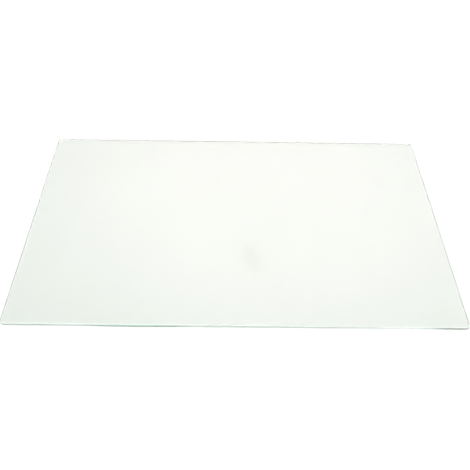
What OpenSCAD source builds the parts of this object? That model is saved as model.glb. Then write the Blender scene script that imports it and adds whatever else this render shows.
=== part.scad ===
// Refrigerator shelf: one flat rectangular sheet of clear toughened float glass.
// The four edges are ground flat, with a narrow arris above and below,
// and the four corners are rounded and carry the same arris.
// Frame: origin at the centre of the underside, +X along the width,
// +Y from the front edge to the back edge, +Z up. All sizes in millimetres.

/* [Glass sheet] */
// Width of the sheet, side to side
panel_w = 475; // [300:1:600]
// Depth of the sheet, front to back
panel_d = 305; // [200:1:450]
// Thickness of the glass
glass_t = 4; // [3:0.5:8]

/* [Corners and edges] */
// Radius of the rounded corners, seen from above
corner_r = 5; // [2:0.5:25]
// Width of the 45 degree arris ground along every edge
arris = 0.5; // [0.2:0.1:1]

/* [Colour] */
// Red, green, blue and alpha of the pale green glass
glass_colour = [0.86, 0.95, 0.91, 0.6]; // [0:0.01:1]

/* [Hidden] */
// Smoothness of the rounded corners
$fn = 96;
// Reach of the sheet from its centre to each edge
half_w = panel_w / 2;
half_d = panel_d / 2;
// Length of each straight edge between two rounded corners
straight_w = panel_w - 2 * corner_r;
straight_d = panel_d - 2 * corner_r;

// Right-hand edge of the section, bottom to top, for a sheet that reaches
// out to `reach`: arris, flat ground edge, arris
function edge_points(reach) = [
    [reach - arris, 0],
    [reach, arris],
    [reach, glass_t - arris],
    [reach - arris, glass_t]
];

// Section right across the sheet, with a ground edge at each end
module cross_section(reach) {
    right = edge_points(reach);
    left = [for (i = [len(right) - 1 : -1 : 0]) [-right[i][0], right[i][1]]];
    polygon(concat(right, left));
}

// Half of that section, from the centre of a rounded corner outwards
module corner_section() {
    polygon(concat([[0, 0]], edge_points(corner_r), [[0, glass_t]]));
}

// Prism along X: it carries the flat-ground front and back edges
module front_to_back() {
    rotate([90, 0, 90])
        linear_extrude(height = straight_w, center = true)
            cross_section(half_d);
}

// Prism along Y: it carries the flat-ground side edges
module side_to_side() {
    rotate([90, 0, 0])
        linear_extrude(height = straight_d, center = true)
            cross_section(half_w);
}

// Quarter turn of the edge section round one corner.
// turn is the direction in which the quarter starts, in degrees
module corner(x, y, turn) {
    translate([x, y, 0])
        rotate([0, 0, turn])
            rotate_extrude(angle = 90)
                corner_section();
}

// The whole sheet of glass, one solid
module glass_panel() {
    cx = half_w - corner_r;
    cy = half_d - corner_r;
    color(glass_colour)
        union() {
            front_to_back();
            side_to_side();
            corner(cx, cy, 0);
            corner(-cx, cy, 90);
            corner(-cx, -cy, 180);
            corner(cx, -cy, 270);
        }
}

glass_panel();
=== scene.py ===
import math

import bpy
from mathutils import Matrix, Vector


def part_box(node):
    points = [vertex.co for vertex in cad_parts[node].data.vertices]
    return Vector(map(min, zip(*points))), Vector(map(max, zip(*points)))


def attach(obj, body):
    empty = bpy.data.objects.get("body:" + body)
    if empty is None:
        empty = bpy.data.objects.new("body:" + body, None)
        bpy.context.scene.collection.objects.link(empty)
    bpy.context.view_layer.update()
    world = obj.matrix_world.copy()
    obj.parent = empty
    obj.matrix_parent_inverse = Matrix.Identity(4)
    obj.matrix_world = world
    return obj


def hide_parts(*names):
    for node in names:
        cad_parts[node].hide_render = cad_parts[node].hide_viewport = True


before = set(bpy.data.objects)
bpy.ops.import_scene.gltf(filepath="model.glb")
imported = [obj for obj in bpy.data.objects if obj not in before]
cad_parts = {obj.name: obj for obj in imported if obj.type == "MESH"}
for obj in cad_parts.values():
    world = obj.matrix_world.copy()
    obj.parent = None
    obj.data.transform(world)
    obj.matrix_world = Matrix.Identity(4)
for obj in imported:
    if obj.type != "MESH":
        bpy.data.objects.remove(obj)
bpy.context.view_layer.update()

MM = 0.001

# ---------------------------------------------------------------- the sheet
# Sizes of the glass, in millimetres, as the CAD node has them
NODE_LO, NODE_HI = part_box("glass_panel")
PANEL_W = (NODE_HI.x - NODE_LO.x) / MM
PANEL_D = (NODE_HI.y - NODE_LO.y) / MM
GLASS_T = (NODE_HI.z - NODE_LO.z) / MM
CORNER_R = 5.0
ARRIS = 0.5
# Width of the tiny round where two ground faces meet
SOFT = 0.06
ARC_STEPS = 20
GRID_X, GRID_Y = 24, 16


def edge_profile():
    """Rings of the edge from the underside to the top face: distance in from the outline, height, the
    direction that the surface faces (outward, up) and how much the surface is ground."""
    a, s, t = ARRIS, SOFT, GLASS_T
    k = math.sqrt(0.5)
    return [
        (a + s, 0.0, (0, -1), 0.0),
        (a - s * k, s * k, (k, -k), 1.0),
        (s * k, a - s * k, (k, -k), 1.0),
        (0.0, a + s, (1, 0), 1.0),
        (0.0, t - a - s, (1, 0), 1.0),
        (s * k, t - a + s * k, (k, k), 1.0),
        (a - s * k, t - s * k, (k, k), 1.0),
        (a + s, t, (0, 1), 0.0),
    ]


def outline():
    """Points round the outline, anticlockwise from the right-hand side's back end, with the outward
    direction of each, and the ring index at which each corner and each side begins."""
    cx, cy = PANEL_W / 2 - CORNER_R, PANEL_D / 2 - CORNER_R
    centres = [(cx, cy), (-cx, cy), (-cx, -cy), (cx, -cy)]
    steps = [GRID_X, GRID_Y, GRID_X, GRID_Y]
    points, corners = [], []
    for i, (x, y) in enumerate(centres):
        corners.append(len(points))
        for j in range(ARC_STEPS + 1):
            a = math.radians(90 * (i + j / ARC_STEPS))
            n = (math.cos(a), math.sin(a))
            points.append((x + CORNER_R * n[0], y + CORNER_R * n[1], *n))
        x2, y2 = centres[(i + 1) % 4]
        n = (round(math.cos(math.radians(90 * (i + 1)))), round(math.sin(math.radians(90 * (i + 1)))))
        for j in range(1, steps[i]):
            f = j / steps[i]
            points.append((x + (x2 - x) * f + CORNER_R * n[0], y + (y2 - y) * f + CORNER_R * n[1], *n))
    return points, corners


def sheet_mesh(name):
    """The whole sheet as one closed mesh: two flat faces on a grid, and the ground edge all round."""
    ring, corners = outline()
    n = len(ring)
    cx, cy = PANEL_W / 2 - CORNER_R, PANEL_D / 2 - CORNER_R
    verts, normals, ground, faces = [], [], [], []
    profile = edge_profile()
    for inset, z, (out, up), g in profile:
        for x, y, nx, ny in ring:
            verts.append((x - nx * inset, y - ny * inset, z))
            normals.append((nx * out, ny * out, up))
            ground.append(g)
    for k in range(len(profile) - 1):
        for i in range(n):
            j = (i + 1) % n
            faces.append((k * n + i, k * n + j, (k + 1) * n + j, (k + 1) * n + i))
    for base, z, up in ((0, 0.0, -1), ((len(profile) - 1) * n, GLASS_T, 1)):
        start = len(verts)
        for j in range(GRID_Y + 1):
            for i in range(GRID_X + 1):
                verts.append((-cx + 2 * cx * i / GRID_X, -cy + 2 * cy * j / GRID_Y, z))
                normals.append((0, 0, up))
                ground.append(0.0)

        def grid(i, j):
            return start + j * (GRID_X + 1) + i

        flat = [
            (grid(i, j), grid(i + 1, j), grid(i + 1, j + 1), grid(i, j + 1))
            for j in range(GRID_Y)
            for i in range(GRID_X)
        ]
        # The four corners are fans, and each side is a strip between the grid and the ring
        hubs = [grid(GRID_X, GRID_Y), grid(0, GRID_Y), grid(0, 0), grid(GRID_X, 0)]
        sides = [
            [grid(GRID_X - i, GRID_Y) for i in range(GRID_X + 1)],
            [grid(0, GRID_Y - j) for j in range(GRID_Y + 1)],
            [grid(i, 0) for i in range(GRID_X + 1)],
            [grid(GRID_X, j) for j in range(GRID_Y + 1)],
        ]
        for c in range(4):
            first = corners[c]
            for j in range(ARC_STEPS):
                flat.append((hubs[c], base + first + j, base + first + j + 1))
            last, inner = first + ARC_STEPS, sides[c]
            for j in range(len(inner) - 1):
                p, q = base + (last + j) % n, base + (last + j + 1) % n
                flat.append((inner[j], p, q, inner[j + 1]))
        faces += flat if up > 0 else [tuple(reversed(f)) for f in flat]
    mesh = bpy.data.meshes.new(name)
    mesh.from_pydata([tuple(c * MM for c in v) for v in verts], [], faces)
    mesh.polygons.foreach_set("use_smooth", [True] * len(mesh.polygons))
    mesh.normals_split_custom_set_from_vertices([Vector(v).normalized() for v in normals])
    mark = mesh.attributes.new("ground", "FLOAT", "POINT")
    mark.data.foreach_set("value", ground)
    mesh.update()
    mesh.validate()
    return mesh


# ---------------------------------------------------------------- materials
# What the glass takes off red, green and blue along a metre, and what each polished face does
ABSORB = (5.0, 3.0, 4.0)
FACE_TINT = (0.903, 0.924, 0.907)
# The ground edges: how much of the front one is clear where it's pale and where it's dark, and how much of the others
FRONT_PALE, FRONT_DARK, SIDES_CLEAR = 0.30, 1.0, (0.92, 1.0)
# Their tint: the front one's, the teal of its painted shade where that is greenest, and the others', and how far the
# painted shade dims the front's darkest places
FRONT_TINT, FRONT_TEAL_SHADE, SIDES_TINT = (0.98, 1.0, 0.99), (0.88, 1.0, 0.96), (1.0, 0.975, 0.985)
FRONT_SHADE_DIM = 0.5


def node(tree, kind, **settings):
    n = tree.nodes.new(kind)
    for k, v in settings.items():
        if k in n.inputs:
            n.inputs[k].default_value = v
        else:
            setattr(n, k, v)
    return n


def plug(tree, socket, value):
    """Sets an input to a number, a tuple or another node's output."""
    if hasattr(value, "is_output"):
        tree.links.new(value, socket)
    else:
        socket.default_value = value


def math_node(tree, operation, a, b=None, clamp=False):
    n = node(tree, "ShaderNodeMath", operation=operation, use_clamp=clamp)
    plug(tree, n.inputs[0], a)
    if b is not None:
        plug(tree, n.inputs[1], b)
    return n.outputs[0]


def vector_node(tree, operation, a, b=None, scale=None):
    n = node(tree, "ShaderNodeVectorMath", operation=operation)
    plug(tree, n.inputs[0], a)
    if b is not None:
        plug(tree, n.inputs[1], b)
    if scale is not None:
        plug(tree, n.inputs["Scale"], scale)
    return n.outputs["Value" if operation in ("DOT_PRODUCT", "LENGTH", "DISTANCE") else "Vector"]


def mapped(tree, value, low, high, start=0.0, end=1.0, smooth=False):
    """value taken from start..end to low..high."""
    n = node(tree, "ShaderNodeMapRange", interpolation_type="SMOOTHSTEP" if smooth else "LINEAR")
    for name, v in (("Value", value), ("From Min", start), ("From Max", end), ("To Min", low), ("To Max", high)):
        plug(tree, n.inputs[name], v)
    return n.outputs["Result"]


def mixed(tree, factor, a, b):
    """Colour a where factor is 0 and b where it's 1."""
    n = node(tree, "ShaderNodeMix", data_type="RGBA")
    plug(tree, n.inputs["Factor"], factor)
    for socket, v in ((n.inputs[6], a), (n.inputs[7], b)):
        plug(tree, socket, (*v, 1) if isinstance(v, tuple) else v)
    return n.outputs[2]


def hump(tree, value, middle, half, power=2.0):
    """1 where value is middle, falling off smoothly to about a third at half away from it."""
    off = math_node(tree, "DIVIDE", math_node(tree, "SUBTRACT", value, middle), half)
    off = math_node(tree, "POWER", math_node(tree, "ABSOLUTE", off), power)
    return math_node(tree, "EXPONENT", math_node(tree, "MULTIPLY", off, -1.0))


def total(tree, first, *rest):
    for r in rest:
        first = math_node(tree, "ADD", first, r)
    return first


def noise(tree, place, stretch, scale, detail=2.0, rough=0.5):
    at = vector_node(tree, "MULTIPLY", place, stretch)
    n = node(tree, "ShaderNodeTexNoise", Scale=scale, Detail=detail, Roughness=rough)
    tree.links.new(at, n.inputs["Vector"])
    return n.outputs["Fac"]


def glass_material():
    """Clear float glass with a green tint in its depth. The attribute `ground` tells the satin ground edge, which
    scatters part of the light, from the two polished faces."""
    m = bpy.data.materials.new("toughened_float_glass")
    m.use_nodes = True
    t = m.node_tree
    t.nodes.clear()
    out = node(t, "ShaderNodeOutputMaterial")
    p = node(t, "ShaderNodeBsdfPrincipled")
    p.inputs["IOR"].default_value = 1.52
    t.links.new(p.outputs[0], out.inputs["Surface"])
    ground = node(t, "ShaderNodeAttribute", attribute_name="ground").outputs["Fac"]
    # Everything below is in millimetres
    place = vector_node(t, "SCALE", node(t, "ShaderNodeTexCoord").outputs["Object"], scale=1000.0)
    xyz = node(t, "ShaderNodeSeparateXYZ")
    t.links.new(place, xyz.inputs[0])
    x, y, z = xyz.outputs

    # The wheel's marks run along the edge, and its bite changes slowly from place to place
    marks = noise(t, place, (0.04, 0.04, 4.0), 1.0, detail=4.0, rough=0.6)
    bite = noise(t, place, (1.0, 1.0, 0.0), 0.022, detail=1.0)
    # The front edge carries a painted dark band of shade, stronger at both ends and along a stretch left of the
    # middle, where it is painted low on the edge as shade on the lower arris, and almost gone towards the right. The
    # band also sets how clear the ground edge is.
    front = mapped(t, y, 1.0, 0.0, -PANEL_D / 2 + 2, -PANEL_D / 2 + 6)
    # The stretch left of the middle where the painted shade is darkest, greenest and lies lowest on the edge
    stretch = hump(t, x, -102.0, 46.0, 4.0)
    clarity_and_painted_shade = total(
        t,
        mapped(t, bite, 0.38, 0.54, 0.3, 0.7),
        math_node(t, "MULTIPLY", hump(t, x, -222.0, 50.0, 4.0), 0.50),
        math_node(t, "MULTIPLY", stretch, 0.62),
        math_node(t, "MULTIPLY", hump(t, x, 168.0, 32.0, 4.0), -0.42),
        math_node(t, "MULTIPLY", hump(t, x, 224.0, 24.0), 1.25),
    )
    # How high on the edge the painted shade lies: low in the stretch left of the middle, as shade on the lower arris,
    # and higher towards the right
    painted_shade_height = total(
        t, 1.9, math_node(t, "MULTIPLY", stretch, -1.1), math_node(t, "MULTIPLY", hump(t, x, 160.0, 50.0, 4.0), 0.6)
    )
    clarity_and_painted_shade = math_node(t, "MULTIPLY", clarity_and_painted_shade, hump(t, math_node(t, "SUBTRACT", z, painted_shade_height), 0.0, 1.4))
    clarity_and_painted_shade = total(t, clarity_and_painted_shade, mapped(t, marks, -0.05, 0.05, 0.3, 0.7))
    sides = mapped(t, marks, *SIDES_CLEAR, 0.3, 0.7)
    clear = mapped(t, front, sides, mapped(t, clarity_and_painted_shade, FRONT_PALE, FRONT_DARK))
    t.links.new(mapped(t, ground, 1.0, clear), p.inputs["Transmission Weight"])

    # A faint grease mark, a few specks and the haze that wiping leaves, on the top face
    top = mapped(t, z, 0.0, 1.0, GLASS_T - 0.2, GLASS_T - 0.1)
    smear = math_node(
        t, "MULTIPLY", hump(t, total(t, x, math_node(t, "MULTIPLY", y, 0.18)), 7.5, 8.0), hump(t, y, -61.0, 19.0, 3.0)
    )
    smear = math_node(t, "MULTIPLY", smear, mapped(t, noise(t, place, (1, 1, 1), 0.16, detail=3.0), 0.35, 1.5, 0.3, 0.7))
    specks = None
    for sx, sy, size in ((-20.7, -38.7, 2.5), (61.8, 70.9, 2.5), (178.0, 37.4, 3.0), (163.6, 90.6, 2.5)):
        spot = math_node(t, "MULTIPLY", hump(t, x, sx, size), hump(t, y, sy, size))
        specks = spot if specks is None else math_node(t, "ADD", specks, spot)
    wiped = noise(t, place, (1.0, 0.35, 1.0), 0.03, detail=5.0, rough=0.6)
    soil = total(
        t,
        math_node(t, "MULTIPLY", smear, 0.085),
        math_node(t, "MULTIPLY", specks, 0.03),
        mapped(t, wiped, -0.004, 0.012, 0.3, 0.7),
    )
    soil = math_node(t, "MULTIPLY", soil, top)
    face = vector_node(t, "SCALE", FACE_TINT, scale=math_node(t, "SUBTRACT", 1.0, soil))
    # Painted shade: the front edge's colour is dimmed along the painted dark band and tinted teal in the stretch left
    # of the middle
    edge = vector_node(t, "SCALE", mixed(t, stretch, FRONT_TINT, FRONT_TEAL_SHADE), scale=mapped(t, clarity_and_painted_shade, 1.0, FRONT_SHADE_DIM, 0.5, 1.3))
    edge = mixed(t, front, SIDES_TINT, edge)
    t.links.new(mixed(t, ground, face, edge), p.inputs["Base Color"])
    sheen = total(t, math_node(t, "MULTIPLY", smear, 0.12), mapped(t, wiped, 0.0, 0.03, 0.5, 0.75))
    sheen = math_node(t, "MULTIPLY", sheen, top)
    t.links.new(mapped(t, ground, sheen, 1.0), p.inputs["Roughness"])

    absorb = node(t, "ShaderNodeVolumeAbsorption")
    density = 2 * max(ABSORB)
    absorb.inputs["Color"].default_value = (*[1 - s / density for s in ABSORB], 1)
    absorb.inputs["Density"].default_value = density
    t.links.new(absorb.outputs[0], out.inputs["Volume"])
    return m


glass = bpy.data.objects.new("glass_sheet", sheet_mesh("glass_sheet"))
bpy.context.scene.collection.objects.link(glass)
glass.data.materials.append(glass_material())
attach(glass, "root")
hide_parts("glass_panel")

# ---------------------------------------------------------------- the stage
def floor_material():
    m = bpy.data.materials.new("pale_floor")
    m.use_nodes = True
    t = m.node_tree
    p = t.nodes["Principled BSDF"]
    p.inputs["Base Color"].default_value = (0.9, 0.9, 0.9, 1)
    p.inputs["Roughness"].default_value = 0.9
    p.inputs["Specular IOR Level"].default_value = 0.0
    return m


FLOOR_R = 12.0
floor_mesh = bpy.data.meshes.new("floor")
ring = [
    (FLOOR_R * math.cos(2 * math.pi * i / 96), FLOOR_R * math.sin(2 * math.pi * i / 96), -0.0001)
    for i in range(96)
]
floor_mesh.from_pydata(ring, [], [tuple(range(96))])
floor = bpy.data.objects.new("floor", floor_mesh)
bpy.context.scene.collection.objects.link(floor)
floor.data.materials.append(floor_material())

# ---------------------------------------------------------------- the light
# A wide softbox over the far side of the sheet: azimuth from +Y towards +X and elevation of its middle, half its width
# and height, all in degrees, and how squarely it falls off
BOX_AT, BOX_SIZE, BOX_FALL = (4.9, 42.7), (30.6, 14.0), 3.2
BOX_LIGHT = (1.852, 1.391, 1.513)
# A large overhead panel, a little behind the camera
TOP_WAY, TOP_EDGES = (0.0, -0.3, 0.954), (42.0, 12.0)
TOP_LIGHT = (3.45, 3.56, 3.44)
# Pale walls, and the darker ceiling above them
WALL_EL, WALL_LIGHT, CEILING_LIGHT = (11.5, 35.5), (1.0, 1.0, 1.0), (0.13, 0.13, 0.13)


def studio_world():
    """Soft studio light, drawn as a function of direction alone."""
    w = bpy.data.worlds.new("studio")
    w.use_nodes = True
    t = w.node_tree
    t.nodes.clear()
    out = node(t, "ShaderNodeOutputWorld")
    way = node(t, "ShaderNodeTexCoord").outputs["Generated"]
    xyz = node(t, "ShaderNodeSeparateXYZ")
    t.links.new(way, xyz.inputs[0])
    x, y, z = xyz.outputs
    elevation = math_node(t, "ARCSINE", z)
    azimuth = math_node(t, "ARCTAN2", x, y)

    wall = mapped(t, elevation, 1.0, 0.0, *(math.radians(a) for a in WALL_EL), smooth=True)

    offsets = []
    for angle, middle, half in zip((azimuth, elevation), BOX_AT, BOX_SIZE):
        off = math_node(t, "DIVIDE", math_node(t, "SUBTRACT", angle, math.radians(middle)), math.radians(half))
        offsets.append(math_node(t, "MULTIPLY", off, off))
    box = hump(t, math_node(t, "SQRT", math_node(t, "ADD", *offsets)), 0.0, 1.0, BOX_FALL)
    facing = vector_node(t, "DOT_PRODUCT", way, tuple(Vector(TOP_WAY).normalized()))
    top = mapped(t, facing, 0.0, 1.0, *(math.cos(math.radians(a)) for a in TOP_EDGES), smooth=True)
    light = mixed(t, wall, CEILING_LIGHT, WALL_LIGHT)
    light = vector_node(t, "ADD", light, vector_node(t, "SCALE", BOX_LIGHT, scale=box))
    light = vector_node(t, "ADD", light, vector_node(t, "SCALE", TOP_LIGHT, scale=top))
    background = node(t, "ShaderNodeBackground")
    t.links.new(light, background.inputs["Color"])
    t.links.new(background.outputs[0], out.inputs["Surface"])
    return w


scene = bpy.context.scene
scene.world = studio_world()
scene.view_settings.view_transform = "Standard"
scene.view_settings.look = "None"
# Glass this clear needs its light unfiltered, and room for the many reflections inside the sheet
scene.cycles.blur_glossy = 0.0
scene.cycles.max_bounces = 64
scene.cycles.transmission_bounces = 64
scene.cycles.glossy_bounces = 64
scene.cycles.diffuse_bounces = 6

# ---------------------------------------------------------------- the camera
# The photograph's viewpoint: distances in millimetres, angles in degrees, focal length in pixels of a 470 x 470 frame
CAM_POS = (-9.32, -525.20, 512.56)
PITCH, YAW, ROLL = 45.476, 0.962, 1.368
FOCAL_PX = 621.05


def camera():
    p, y, r = (math.radians(a) for a in (PITCH, YAW, ROLL))
    ahead = Vector((math.sin(y) * math.cos(p), math.cos(y) * math.cos(p), -math.sin(p)))
    right = Vector((math.cos(y), -math.sin(y), 0))
    up = right.cross(ahead)
    right2 = math.cos(r) * right + math.sin(r) * up
    up2 = -math.sin(r) * right + math.cos(r) * up
    data = bpy.data.cameras.new("camera")
    data.sensor_width = 36.0
    data.lens = 36.0 * FOCAL_PX / 470
    data.clip_start, data.clip_end = 0.01, 100
    cam = bpy.data.objects.new("camera", data)
    scene.collection.objects.link(cam)
    m = Matrix((right2, up2, -ahead)).transposed().to_4x4()
    m.translation = Vector(CAM_POS) * MM
    cam.matrix_world = m
    return cam


scene.camera = camera()
